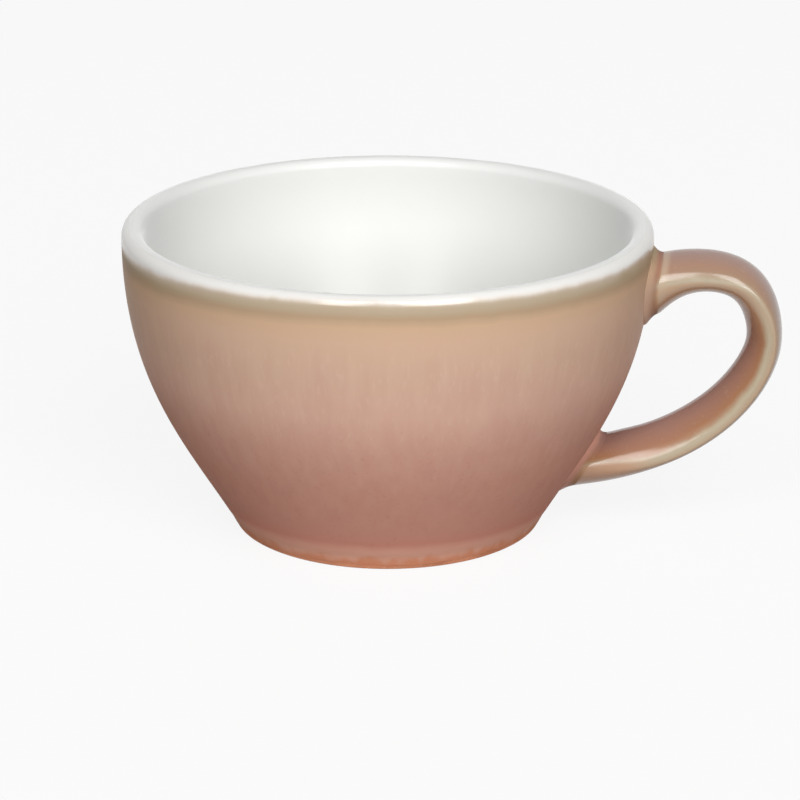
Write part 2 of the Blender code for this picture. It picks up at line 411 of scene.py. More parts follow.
@dataclass(frozen=True)
class ReactiveFinish(Finish):
    """Reactive glaze on the bowl: cream at the lip, khaki under it, peach, then dusty rose at the foot.

    The places of the bands are heights above the table, and so are the spans and zones. The bands lie
    lower by the droop at the bowl's two sides, and the lean evens out some of that on the handle's side.
    """

    axis: float
    rim_radius: float
    cup_height: float
    name: str = "reactive_glaze"
    bands: tuple[Band, ...] = (
        # The two lowest bands, on the foot's face, are lighter: partly thin glaze, partly painted light for
        # the steeper face that catches more of the lamps.
        Band(0.0032, (0.801, 0.464, 0.355)),
        Band(0.0048, (0.792, 0.432, 0.336)),
        Band(0.0066, (0.679, 0.318, 0.248)),
        Band(0.0095, (0.659, 0.339, 0.267)),
        Band(0.0190, (0.663, 0.353, 0.272)),
        Band(0.0290, (0.668, 0.383, 0.300)),
        Band(0.0380, (0.704, 0.447, 0.350)),
        Band(0.0460, (0.662, 0.448, 0.336)),
        Band(0.0535, (0.661, 0.455, 0.327)),
        Band(0.0565, (0.640, 0.440, 0.292)),
        Band(0.0583, (0.497, 0.354, 0.232)),
        Band(0.0593, (0.478, 0.374, 0.249)),
        Band(0.0602, (0.500, 0.396, 0.271)),
        Band(0.0607, (0.530, 0.430, 0.310)),
        Band(0.0611, (0.640, 0.550, 0.445)),
        Band(0.0615, (0.800, 0.750, 0.690)),
        Band(0.0620, (0.860, 0.850, 0.820)),
    )
    border: Grain = Grain(190.0, 3.0, 0.3)
    border_waver: float = 0.0010
    droop: float = 0.0016
    droop_lean: float = 0.0004
    wall_zone: Zone = ((0.006, 0.016), (0.056, 0.046))
    blush: Mottle = Mottle((0.60, 0.34, 0.30), Grain(60.0), (0.45, 0.75), 0.22)
    runs: Grain = Grain(420.0, 2.0, 0.10)
    run_shades: tuple[Band, ...] = (Band(0.3, (0.44, 0.44, 0.44)), Band(0.7, (0.56, 0.56, 0.56)))
    run_strength: float = 0.35
    flecks: Mottle = Mottle((0.80, 0.60, 0.49), Grain(1200.0, 1.0, 0.28), (0.56, 0.74))
    fleck_span: Span = (0.024, 0.036)
    fleck_strength: float = 0.04
    fleck_growth: float = 0.11
    specks: Mottle = Mottle((0.40, 0.20, 0.14), Grain(1300.0, 0.0), (0.68, 0.80), 0.14)
    speck_zone: Zone = ((0.004, 0.008), (0.040, 0.028))
    rust: Colour = (0.72, 0.300, 0.170)
    rust_span: Span = (0.0030, 0.0002)
    rust_strength: float = 0.92
    tongues: Grain = Grain(380.0, 1.0, 0.15)
    tongue_length: float = 0.0040
    tongue_root: float = 0.30
    roughness: float = 0.30
    run_roughness: float = 0.10
    dry_span: Span = (0.045, 0.025)
    dry_roughness: float = 0.25
    skin: Relief = Relief(Grain(240.0), 0.0004, 0.06)
    gloss: float = 0.9
    gloss_span: Span = (0.0578, 0.0602)
    gloss_roughness: float = 0.20
    gloss_ior: float = 1.78
    ior: float = 1.05

    def ground(self, sheet: Sheet, place: Signal, height: Signal) -> Signal:
        """Return the colour of the glaze by height, with wavering borders.

        Args:
            sheet: The sheet of the finish that asks for it.
            place: The point on the piece.
            height: Its height.

        Returns:
            The colour, without the streaks and flecks in it.
        """
        across = (height.sibling("X") - self.axis) / self.rim_radius
        droop = (self.droop * across - self.droop_lean) * across
        level = height + droop + sheet.waver(place, self.border, self.border_waver)
        bands = [band._replace(place=band.place / self.cup_height) for band in self.bands]
        return sheet.ramp(level / self.cup_height, bands)

    def shader(self, sheet: Sheet) -> Signal:
        """Return the glaze's shader.

        Args:
            sheet: The finish's empty sheet.

        Returns:
            The shader's output.
        """
        place = sheet.place()
        height = sheet.height(place)
        wall = sheet.within(height, self.wall_zone)
        colour = sheet.spotted(self.ground(sheet, place, height), place, self.blush, wall)
        run = sheet.noise(place, self.runs)
        colour = sheet.mix(self.run_strength * wall, colour, sheet.ramp(run, self.run_shades), "OVERLAY")
        strength = self.fleck_strength + self.fleck_growth * sheet.step(height, *self.fleck_span)
        colour = sheet.spotted(colour, place, self.flecks, wall * strength)
        colour = sheet.spotted(colour, place, self.specks, sheet.within(height, self.speck_zone))
        tongue = sheet.waver(place, self.tongues, self.tongue_length, self.tongue_root)
        rust = sheet.step(height - tongue, *self.rust_span)
        feeds = {
            "Base Color": sheet.mix(self.rust_strength * rust, colour, rgba(self.rust)),
            "Roughness": self.roughness + self.run_roughness * run
            + self.dry_roughness * sheet.step(height, *self.dry_span),
            "Normal": sheet.bump(sheet.noise(place, self.skin.grain), self.skin),
            "Coat Weight": self.gloss * sheet.step(height, *self.gloss_span),
            "Coat Roughness": self.gloss_roughness,
            "Coat IOR": self.gloss_ior,
            "IOR": self.ior,
        }
        return sheet.node("ShaderNodeBsdfPrincipled", None, feeds)


@dataclass(frozen=True)
class HandleFinish(Finish):
    """The same glaze on the handle, which breaks cream along its front and back edges.

    The places of the bands run round the section from the middle of the finger side, 0, over the edge,
    0.5, to the middle of the outer side, 1. Spans by height and by turn are named so, and the others
    are distances from the bowl's wall.
    """

    wall: ReactiveFinish
    name: str = "reactive_glaze_handle"
    upper_bands: tuple[Band, ...] = (
        Band(0.00, (0.600, 0.395, 0.265)),
        Band(0.30, (0.595, 0.392, 0.250)),
        Band(0.40, (0.550, 0.370, 0.235)),
        Band(0.46, (0.525, 0.395, 0.268)),
        Band(0.52, (0.510, 0.445, 0.330)),
        Band(0.59, (0.424, 0.336, 0.234)),
        Band(0.69, (0.350, 0.214, 0.133)),
        Band(0.82, (0.372, 0.209, 0.136)),
        Band(1.00, (0.365, 0.221, 0.179)),
    )
    lower_bands: tuple[Band, ...] = (
        Band(0.00, (0.350, 0.204, 0.173)),
        Band(0.22, (0.372, 0.190, 0.122)),
        Band(0.30, (0.375, 0.185, 0.095)),
        Band(0.34, (0.385, 0.225, 0.130)),
        Band(0.38, (0.435, 0.335, 0.218)),
        Band(0.42, (0.480, 0.415, 0.298)),
        Band(0.49, (0.460, 0.350, 0.235)),
        Band(0.66, (0.430, 0.265, 0.155)),
        Band(1.00, (0.300, 0.180, 0.130)),
    )
    upper_heights: Span = (0.040, 0.056)
    border: Grain = Grain(220.0, 3.0)
    border_waver: float = 0.10
    swell: float = 0.025
    swell_heights: Span = (0.018, 0.032)
    bare: Colour = (0.50, 0.275, 0.165)
    bare_span: Span = (0.0130, 0.0070)
    bare_turns: Span = (0.36, 0.42)
    bare_strength: float = 0.75
    # Glaze pooled in the groove at the upper joint, darkened further with painted shade of the groove; the
    # seam itself lies flush.
    hollow: Colour = (0.38, 0.19, 0.135)
    pool_and_shade_zone: Zone = ((0.0002, 0.0008), (0.0021, 0.0013))
    pool_and_shade_strength: float = 0.7
    crest: Colour = (0.52, 0.40, 0.28)
    crest_zone: Zone = ((0.0018, 0.0024), (0.0040, 0.0027))
    crest_strength: float = 0.6
    blend_span: Span = (0.0016, 0.0003)
    flecks: Mottle = Mottle((0.52, 0.40, 0.28), Grain(1250.0, 1.0), (0.62, 0.74), 0.12)
    skin: Relief = Relief(Grain(240.0), 0.0004, 0.05)
    roughness: float = 0.14
    skin_roughness: float = 0.06
    ior: float = 1.55

    def shader(self, sheet: Sheet) -> Signal:
        """Return the glaze's shader.

        Args:
            sheet: The finish's empty sheet.

        Returns:
            The shader's output.
        """
        place = sheet.place()
        height = sheet.height(place)
        standoff = sheet.mark("standoff")
        turn = 0.5 + 0.5 * sheet.mark("around") + sheet.waver(place, self.border, self.border_waver)

        swelled = turn + self.swell * sheet.step(height, *self.swell_heights)
        bare = sheet.step(standoff, *self.bare_span) * sheet.step(turn, *self.bare_turns)
        lower = sheet.ramp(swelled, self.lower_bands)
        lower = sheet.mix(self.bare_strength * bare, lower, rgba(self.bare))
        high = sheet.step(height, *self.upper_heights)
        colour = sheet.mix(high, lower, sheet.ramp(turn, self.upper_bands))

        # Painted shade and pooled glaze in the groove between the handle's end and the upper fillet.
        hollow = sheet.within(standoff, self.pool_and_shade_zone)
        colour = sheet.mix(self.pool_and_shade_strength * high * hollow, colour, rgba(self.hollow))
        crest = sheet.within(standoff, self.crest_zone)
        colour = sheet.mix(self.crest_strength * high * crest, colour, rgba(self.crest))
        near = sheet.step(standoff, *self.blend_span)
        colour = sheet.mix(near, colour, self.wall.ground(sheet, place, height))
        skin = sheet.noise(place, self.skin.grain)
        feeds = {
            "Base Color": sheet.spotted(colour, place, self.flecks),
            "Roughness": self.roughness + self.skin_roughness * skin,
            "Normal": sheet.bump(skin, self.skin),
            "IOR": self.ior,
        }
        return sheet.node("ShaderNodeBsdfPrincipled", None, feeds)


@dataclass(frozen=True)
class FloorFinish(Finish):
    """Pale matt table that a camera and reflections see as almost white, with the cup's soft shadow."""

    name: str = "pale_table"
    colour: Colour = (0.90, 0.90, 0.90)
    bounce: Colour = (0.33, 0.28, 0.25)
    whiteness: float = 0.88
    paper: Grain = Grain(6.0)
    paper_shade: float = 0.04

    def shader(self, sheet: Sheet) -> Signal:
        """Return the table's shader.

        Args:
            sheet: The finish's empty sheet.

        Returns:
            The shader's output.
        """
        seen = sheet.seen()
        pale = 1.0 - self.paper_shade * sheet.noise(sheet.place(), self.paper)
        colour = sheet.mix(seen * pale, rgba(self.bounce), rgba(self.colour))
        matt = sheet.node("ShaderNodeBsdfDiffuse", None, {"Color": colour})
        white = sheet.node("ShaderNodeEmission", None, {"Color": WHITE, "Strength": 1.0})
        return sheet.node("ShaderNodeMixShader", None, {0: seen * self.whiteness, 1: matt, 2: white})


# Outlines


class Ring(NamedTuple):
    """One ring of a drawn-out form, in the plane y = 0.

    It has a centre, the lean of its axis, a thickness and a width. Its widest line may lie shifted from
    the middle towards its outer side.
    """

    centre: Vector
    lean: float
    thickness: float
    width: float
    shift: float = 0.0


def heading(angle: float) -> Vector:
    """Return the direction at an angle from +R towards +Z."""
    return Vector((math.cos(angle), math.sin(angle)))


def outward(lean: float) -> Vector:
    """Return the direction towards the outer side of a ring that leans."""
    return Vector((-math.sin(lean), math.cos(lean)))


def upright(point: Vector) -> Vector:
    """Return a point of the plane y = 0 from its place along X and its height."""
    return Vector((point.x, 0.0, point.y))


def spaced(first: float, last: float, steps: int) -> list[float]:
    """Return evenly spaced numbers, with both ends."""
    return [first + (last - first) * k / steps for k in range(steps + 1)]


def search(low: float, high: float, short: Callable[[float], bool], halvings: int = HALVINGS) -> float:
    """Find where a test stops holding, by halving.

    Args:
        low: A number for which the test holds. It may be the larger of the two.
        high: A number for which it doesn't.
        short: The test.
        halvings: How many times the span is halved.

    Returns:
        The number in between where it changes.
    """
    for _ in range(halvings):
        middle = (low + high) / 2
        if short(middle):
            low = middle
        else:
            high = middle
    return middle


def soft_step(value: float, low: float, high: float) -> float:
    """Return a smooth step from 0 at low to 1 at high."""
    t = min(max((value - low) / (high - low), 0.0), 1.0)
    return t * t * (3 - 2 * t)


def bezier(ends: Sequence[Vector], t: float) -> Vector:
    """Return a point on a cubic curve.

    Args:
        ends: Its start, two control points and end.
        t: The place along it, from 0 to 1.

    Returns:
        The point.
    """
    start, pull_a, pull_b, end = ends
    s = 1 - t
    return s**3 * start + 3 * s * s * t * pull_a + 3 * s * t * t * pull_b + t**3 * end


def bezier_change(ends: Sequence[Vector], t: float) -> Vector:
    """Return how the point on a cubic curve moves over a small step to either side of t."""
    return bezier(ends, t + SLOPE_STEP) - bezier(ends, t - SLOPE_STEP)


def arc(centre: Vector, radius: float, first: float, last: float, steps: int) -> list[Vector]:
    """Return points on an arc, with both ends, angles measured from +R towards +Z."""
    return [centre + radius * heading(angle) for angle in spaced(first, last, steps)]


def offset(points: Sequence[Vector], distance: float) -> list[Vector]:
    """Shift an outline to its right-hand side, keeping its corners mitred.

    Args:
        points: The outline's points in order.
        distance: How far it shifts.

    Returns:
        The shifted points.
    """
    sides = []
    for a, b in zip(points, points[1:]):
        run = (b - a).normalized()
        sides.append(Vector((run.y, -run.x)))
    sides = [sides[0], *sides, sides[-1]]
    moved = []
    for point, before, after in zip(points, sides, sides[1:]):
        moved.append(point + distance * (before + after) / (1 + before.dot(after)))
    return moved


def grown(ring: Ring, growth: float) -> Ring:
    """Return a ring that is thicker and wider by a growth."""
    return ring._replace(thickness=ring.thickness + growth, width=ring.width + growth)


def between(before: Ring, ring: Ring, after: Ring) -> Ring:
    """Return a ring eased towards its two neighbours."""
    return Ring(*((a + 2 * b + c) / 4 for a, b, c in zip(before, ring, after)))


# Modelling moves


class Bench:
    """Edit-mode moves that the pieces share."""

    MERGE = 1e-6
    SEED = 1e-3
    SHARP = math.radians(35)

    @staticmethod
    def _start(name: str, add: Callable[..., Any], **sizes: Any) -> bpy.types.Object:
        """Add a primitive by itself at the origin and open it for editing.

        Args:
            name: The piece's name.
            add: The operator that adds the primitive.
            **sizes: The operator's own sizes.

        Returns:
            The new object, in edit mode with everything selected.
        """
        bpy.ops.object.select_all(action="DESELECT")
        add(**sizes)
        piece = bpy.context.active_object
        piece.name = name
        piece.data.name = name
        bpy.ops.object.transform_apply(location=True, rotation=True, scale=True)
        bpy.ops.object.mode_set(mode="EDIT")
        bpy.ops.mesh.select_all(action="SELECT")
        return piece

    @classmethod
    def _close(cls) -> None:
        """Merge doubles, turn the faces outwards and leave edit mode."""
        bpy.ops.mesh.select_all(action="SELECT")
        bpy.ops.mesh.remove_doubles(threshold=cls.MERGE)
        bpy.ops.mesh.normals_make_consistent(inside=False)
        bpy.ops.object.mode_set(mode="OBJECT")

    @classmethod
    def turn(cls, name: str, outline: Sequence[Vector], axis: float, steps: int) -> bpy.types.Object:
        """Draw an outline point by point and spin it about an upright axis.

        Args:
            name: The piece's name.
            outline: Points as (radius, height).
            axis: Where the axis stands on X.
            steps: How many steps make the full turn.

        Returns:
            The turned shell.
        """
        piece = cls._start(name, bpy.ops.mesh.primitive_plane_add, size=cls.SEED)
        bpy.ops.mesh.merge(type="CENTER")
        first = outline[0]
        bpy.ops.transform.translate(value=(axis + first.x, 0.0, first.y))
        for here, there in zip(outline, outline[1:]):
            move = {"value": (there.x - here.x, 0.0, there.y - here.y)}
            bpy.ops.mesh.extrude_vertices_move(TRANSFORM_OT_translate=move)
        bpy.ops.mesh.select_all(action="SELECT")
        bpy.ops.mesh.spin(steps=steps, angle=2 * math.pi, center=(axis, 0.0, 0.0), axis=(0.0, 0.0, 1.0))
        cls._close()
        return piece

    @staticmethod
    def _lay(before: Ring, after: Ring) -> None:
        """Carry the selected ring from one place to the next: straighten, resize, lean and move it.

        Args:
            before: The ring as it lies.
            after: The ring as it comes to lie.
        """
        pivot = upright(before.centre)
        size = (1.0, after.width / before.width, after.thickness / before.thickness)
        bpy.ops.transform.rotate(value=-before.lean, orient_axis="Y", center_override=pivot)
        bpy.ops.transform.resize(value=size, center_override=pivot)
        bpy.ops.transform.rotate(value=after.lean, orient_axis="Y", center_override=pivot)
        bpy.ops.transform.translate(value=upright(after.centre - before.centre))

    @classmethod
    def draw_out(
        cls, name: str, rings: Sequence[Ring], corners: int, squareness: float, capped: bool = False,
    ) -> bpy.types.Object:
        """Draw a tube out of one circle, ring by ring.

        Args:
            name: The piece's name.
            rings: The rings in order.
            corners: How many corners a ring has.
            squareness: How full its section is: 2 is an ellipse, and more fills out its corners.
            capped: Whether its two ends are closed.

        Returns:
            The tube.
        """
        sizes = {"vertices": corners, "radius": 0.5, "rotation": (0.0, math.pi / 2, 0.0)}
        piece = cls._start(name, bpy.ops.mesh.primitive_circle_add, **sizes)
        bpy.ops.object.mode_set(mode="OBJECT")
        for vertex in piece.data.vertices:
            fullness = sum(abs(2 * value) ** squareness for value in vertex.co) ** (-1 / squareness)
            vertex.co *= fullness
        bpy.ops.object.mode_set(mode="EDIT")
        cls._lay(Ring(Vector((0.0, 0.0)), 0.0, 1.0, 1.0), rings[0])
        for before, after in zip(rings, rings[1:]):
            bpy.ops.mesh.extrude_region_move()
            cls._lay(before, after)
        if capped:
            bpy.ops.mesh.select_all(action="SELECT")
            bpy.ops.mesh.fill_holes(sides=0)
        cls._close()
        cls._shift(piece, rings, corners)
        return piece

    @staticmethod
    def _shift(piece: bpy.types.Object, rings: Sequence[Ring], corners: int) -> None:
        """Move each ring's widest line to its place, and write to its points how far round they lie.

        Args:
            piece: The drawn-out tube.
            rings: Its rings in order.
            corners: How many corners a ring has.
        """
        marks = piece.data.attributes.new("around", "FLOAT", "POINT")
        for index, vertex in enumerate(piece.data.vertices):
            ring = rings[index // corners]
            out = upright(outward(ring.lean))
            part = 2 * (vertex.co - upright(ring.centre)).dot(out) / ring.thickness
            vertex.co += ring.shift * (1 - abs(part)) * out
            marks.data[index].value = part

    @staticmethod
    def _pick(piece: bpy.types.Object) -> None:
        """Select a piece by itself.

        Args:
            piece: The piece.
        """
        bpy.ops.object.select_all(action="DESELECT")
        piece.select_set(True)
        bpy.context.view_layer.objects.active = piece

    @classmethod
    def apply(cls, piece: bpy.types.Object, kind: str, **settings: Any) -> None:
        """Add a modifier with its settings and apply it.

        Args:
            piece: The piece.
            kind: The modifier's type.
            **settings: Its settings.
        """
        cls._pick(piece)
        modifier = piece.modifiers.new(kind.lower(), kind)
        for name, value in settings.items():
            setattr(modifier, name, value)
        bpy.ops.object.modifier_apply(modifier=modifier.name)

    @classmethod
    def thicken(cls, piece: bpy.types.Object, thickness: float) -> None:
        """Make a closed skin out of a shell, thickened behind its faces."""
        cls.apply(piece, "SOLIDIFY", thickness=thickness, offset=-1.0, use_even_offset=True, use_rim=True)

    @classmethod
    def smooth(cls, piece: bpy.types.Object) -> None:
        """Shade a piece smooth, apart from its sharp edges."""
        cls._pick(piece)
        bpy.ops.object.shade_smooth_by_angle(angle=cls.SHARP)


# Sub-assemblies


@dataclass
class Bowl:
    """The turned bowl: its clay, the reactive glaze outside, the white liner and the glazed recess."""

    axis: float
    cup_height: float = 0.0624
    rim_radius: float = 0.0530
    lip_radius: float = 0.0021
    foot_radius: float = 0.0312
    foot_height: float = 0.0032
    foot_draft: float = 0.0016
    ledge_width: float = 0.0003
    ledge_rise: float = 0.0003
    wall_start_lean: float = math.radians(30.5)
    wall_start_pull: float = 0.0188
    wall_end_lean: float = math.radians(-0.7)
    wall_end_pull: float = 0.0277
    wall_thickness: float = 0.0052
    floor_height: float = 0.0076
    floor_corner_radius: float = 0.0150
    foot_ring_width: float = 0.0034
    foot_edge_radius: float = 0.0005
    recess_depth: float = 0.0025
    recess_slope: float = 0.0020
    glaze_thickness: float = 0.0004
    glaze_gap: float = 0.0001
    bare_foot: float = 0.0010
    bare_step: float = 0.0001
    edge_waver: float = 0.00035
    scallops: int = 19
    scallop_share: float = 0.6
    scallop_sway: float = 0.7
    scallop_sways: int = 5
    edge_swells: int = 7
    edge_swell_start: float = 1.1
    sweep_foot: float = 0.0024
    sweep_wall: float = 0.020
    sweep_pull: float = 0.0008
    lip_join: float = math.radians(75)
    turn_steps: int = 256
    level_steps: int = 400
    wall_steps: int = 40
    lip_steps: int = 10
    corner_steps: int = 12
    floor_steps: int = 6
    foot_steps: int = 3
    sweep_steps: int = 8
    edge_steps: int = 4
    standoff_rounds: int = 3

    def __post_init__(self) -> None:
        """Work out the outer wall's control points and the heights along it."""
        start_radius = self.foot_radius + self.foot_draft + self.ledge_width
        start = Vector((start_radius, self.foot_height + self.ledge_rise))
        end = Vector((self.rim_radius, self.cup_height - self.lip_radius))
        lean_in = Vector((math.sin(self.wall_start_lean), math.cos(self.wall_start_lean)))
        lean_out = Vector((math.sin(self.wall_end_lean), math.cos(self.wall_end_lean)))
        pull_in = start + self.wall_start_pull * lean_in
        pull_out = end - self.wall_end_pull * lean_out
        self.wall_ends = (start, pull_in, pull_out, end)
        self.wall_levels = [bezier(self.wall_ends, t).y for t in spaced(0.0, 1.0, self.level_steps)]

    def wall_run(self, t: float) -> Vector:
        """Return the direction of the wall's curve at t."""
        return bezier_change(self.wall_ends, t).normalized()

    def wall_point(self, t: float, depth: float = 0.0) -> Vector:
        """Return a point of the wall's curve, or one that lies some depth inside it."""
        run = self.wall_run(t)
        return bezier(self.wall_ends, t) + depth * Vector((-run.y, run.x))

    def thickness_at(self, t: float) -> float:
        """Return the glazed wall's thickness, which tapers from the foot to the lip."""
        return self.wall_thickness + (2 * self.lip_radius - self.wall_thickness) * t

    def wall_at(self, height: float) -> float:
        """Find the place along the wall's curve at a height.

        Args:
            height: The height.

        Returns:
            The curve's t, kept between the wall's two ends.
        """
        levels = self.wall_levels
        above = min(max(bisect.bisect(levels, height), 1), len(levels) - 1)
        part = (height - levels[above - 1]) / (levels[above] - levels[above - 1])
        return min(max((above - 1 + part) / (len(levels) - 1), 0.0), 1.0)

    def standoff(self, radius: float, height: float) -> float:
        """Return how far a point lies outside the wall, measured square to it.

        Args:
            radius: The point's distance from the axis.
            height: Its height.

        Returns:
            The distance, below 0 for a point inside the wall.
        """
        point = Vector((radius, height))
        t = self.wall_at(height)
        for _ in range(self.standoff_rounds):
            along = (point - self.wall_point(t)).dot(self.wall_run(t))
            t = min(max(t + along / self.cup_height, 0.0), 1.0)
        run = self.wall_run(t)
        return (point - self.wall_point(t)).dot(Vector((run.y, -run.x)))

    def lip_centre(self) -> Vector:
        """Return the middle of the lip's round."""
        return Vector((self.rim_radius - self.lip_radius, self.cup_height - self.lip_radius))

    def foot_point(self, height: float, depth: float = 0.0) -> Vector:
        """Return a point on the foot's leaning face, or on a face some depth inside it."""
        lean = self.foot_draft / self.foot_height
        return Vector((self.foot_radius + lean * height - depth * math.hypot(1.0, lean), height))

    def outside_outline(self, lowest: float) -> list[Vector]:
        """Return the glazed outside.

        Args:
            lowest: The height on the foot's face at which it starts.

        Returns:
            Its points from there up to the coats' join on the lip.
        """
        low = self.foot_point(self.sweep_foot)
        high = self.wall_point(self.sweep_wall)
        pull_up = low + self.sweep_pull * (low - self.foot_point(0.0)).normalized()
        pull_down = high - self.sweep_pull * self.wall_run(self.sweep_wall)
        ends = (low, pull_up, pull_down, high)
        foot = [self.foot_point(level) for level in spaced(lowest, self.sweep_foot, self.foot_steps)]
        sweep = [bezier(ends, t) for t in spaced(0.0, 1.0, self.sweep_steps)]
        wall = [self.wall_point(t) for t in spaced(self.sweep_wall, 1.0, self.wall_steps)]
        lip = arc(self.lip_centre(), self.lip_radius, 0.0, self.lip_join, self.lip_steps)
        return [*foot[:-1], *sweep[:-1], *wall[:-1], *lip]

    def corner_centre(self, t: float) -> Vector:
        """Return the centre of a floor's round that meets the inside of the wall at t."""
        return self.wall_point(t, self.thickness_at(t) + self.floor_corner_radius)

    def inside_outline(self) -> list[Vector]:
        """Return the glazed inside.

        Returns:
            Its points from the coats' join over the lip and down to the floor's middle.
        """
        lip = arc(self.lip_centre(), self.lip_radius, self.lip_join, math.pi, self.lip_steps)
        radius = self.floor_corner_radius
        lowest = search(0.0, 1.0, lambda t: self.corner_centre(t).y < self.floor_height + radius)
        spans = spaced(1.0, lowest, self.wall_steps)[1:]
        wall = [self.wall_point(t, self.thickness_at(t)) for t in spans]
        centre = self.corner_centre(lowest)
        away = wall[-1] - centre
        corner = arc(centre, radius, math.atan2(away.y, away.x), -math.pi / 2, self.corner_steps)
        shares = [1 - k / self.floor_steps for k in range(1, self.floor_steps + 1)]
        floor = [Vector((corner[-1].x * share, self.floor_height)) for share in shares]
        return [*lip, *wall, *corner[1:], *floor]

    def build_clay(self) -> bpy.types.Object:
        """Build the clay bowl.

        Returns:
            The bowl, with its foot ring left bare.
        """
        coat = self.glaze_thickness + self.glaze_gap
        edge = self.foot_edge_radius
        bare = self.foot_point(edge, self.bare_step).x
        inner = self.foot_radius - coat - self.foot_ring_width
        ceiling = self.recess_depth + coat
        round_in = arc(Vector((inner + edge, edge)), edge, math.pi, 1.5 * math.pi, self.edge_steps)
        round_out = arc(Vector((bare - edge, edge)), edge, -math.pi / 2, 0.0, self.edge_steps)
        recess = [Vector((0.0, ceiling)), Vector((inner - self.recess_slope, ceiling))]
        tuck = self.foot_point(self.bare_foot + self.edge_waver, self.bare_step)
        outside = offset(self.outside_outline(self.bare_foot + 2 * self.edge_waver), -coat)
        inside = offset(self.inside_outline(), -coat)
        outline = [*recess, *round_in, *round_out, tuck, *outside, *inside[1:]]
        return Bench.turn("clay_bowl", outline, self.axis, self.turn_steps)

    def build_outer_coat(self) -> bpy.types.Object:
        """Build the reactive glaze outside.

        Returns:
            The coat, with a wavering lower edge where it stopped running.
        """
        piece = Bench.turn("outer_coat", self.outside_outline(self.bare_foot), self.axis, self.turn_steps)
        share = self.scallop_share
        for vertex in piece.data.vertices:
            turn = math.atan2(vertex.co.y, vertex.co.x - self.axis)
            sway = self.scallop_sway * math.sin(self.scallop_sways * turn)
            scallop = abs(math.sin(self.scallops * turn + sway))
            swell = math.sin(self.edge_swells * turn + self.edge_swell_start)
            fading = 1 - soft_step(vertex.co.z, self.bare_foot, self.sweep_foot)
            lift = self.edge_waver * fading * (share * scallop + (1 - share) * swell)
            spread = lift * self.foot_draft / self.foot_height
            vertex.co += Vector((spread * math.cos(turn), spread * math.sin(turn), lift))
        Bench.thicken(piece, self.glaze_thickness)
        return piece

    def build_liner(self) -> bpy.types.Object:
        """Build the white glaze inside.

        Returns:
            The coat, lapped over the lip.
        """
        piece = Bench.turn("liner_coat", self.inside_outline(), self.axis, self.turn_steps)
        Bench.thicken(piece, self.glaze_thickness)
        return piece

    def build_base_coat(self) -> bpy.types.Object:
        """Build the glaze in the recess under the foot.

        Returns:
            The coat, with a rounded edge where it stops.
        """
        thick = self.glaze_thickness
        low = self.recess_depth
        rim = self.foot_radius - thick - self.glaze_gap - self.foot_ring_width - self.recess_slope
        bead = arc(Vector((rim - thick, low + thick)), thick, -math.pi / 2, 0.0, self.edge_steps)
        face = [Vector((reach, low)) for reach in spaced(0.0, bead[0].x, self.floor_steps)[:-1]]
        return Bench.turn("base_coat", [*face, *bead, Vector((0.0, low + thick))], self.axis, self.turn_steps)

    def make(self, clay: bpy.types.Material, reactive: bpy.types.Material, liner: bpy.types.Material) -> None:
        """Build and dress the bowl's pieces.

        Args:
            clay: The bare stoneware.
            reactive: The reactive glaze.
            liner: The white liner glaze.
        """
        dress(self.build_clay(), clay, "bowl_body")
        dress(self.build_outer_coat(), reactive, "outer_glaze")
        dress(self.build_liner(), liner, "liner_glaze")
        dress(self.build_base_coat(), reactive, "base_glaze")


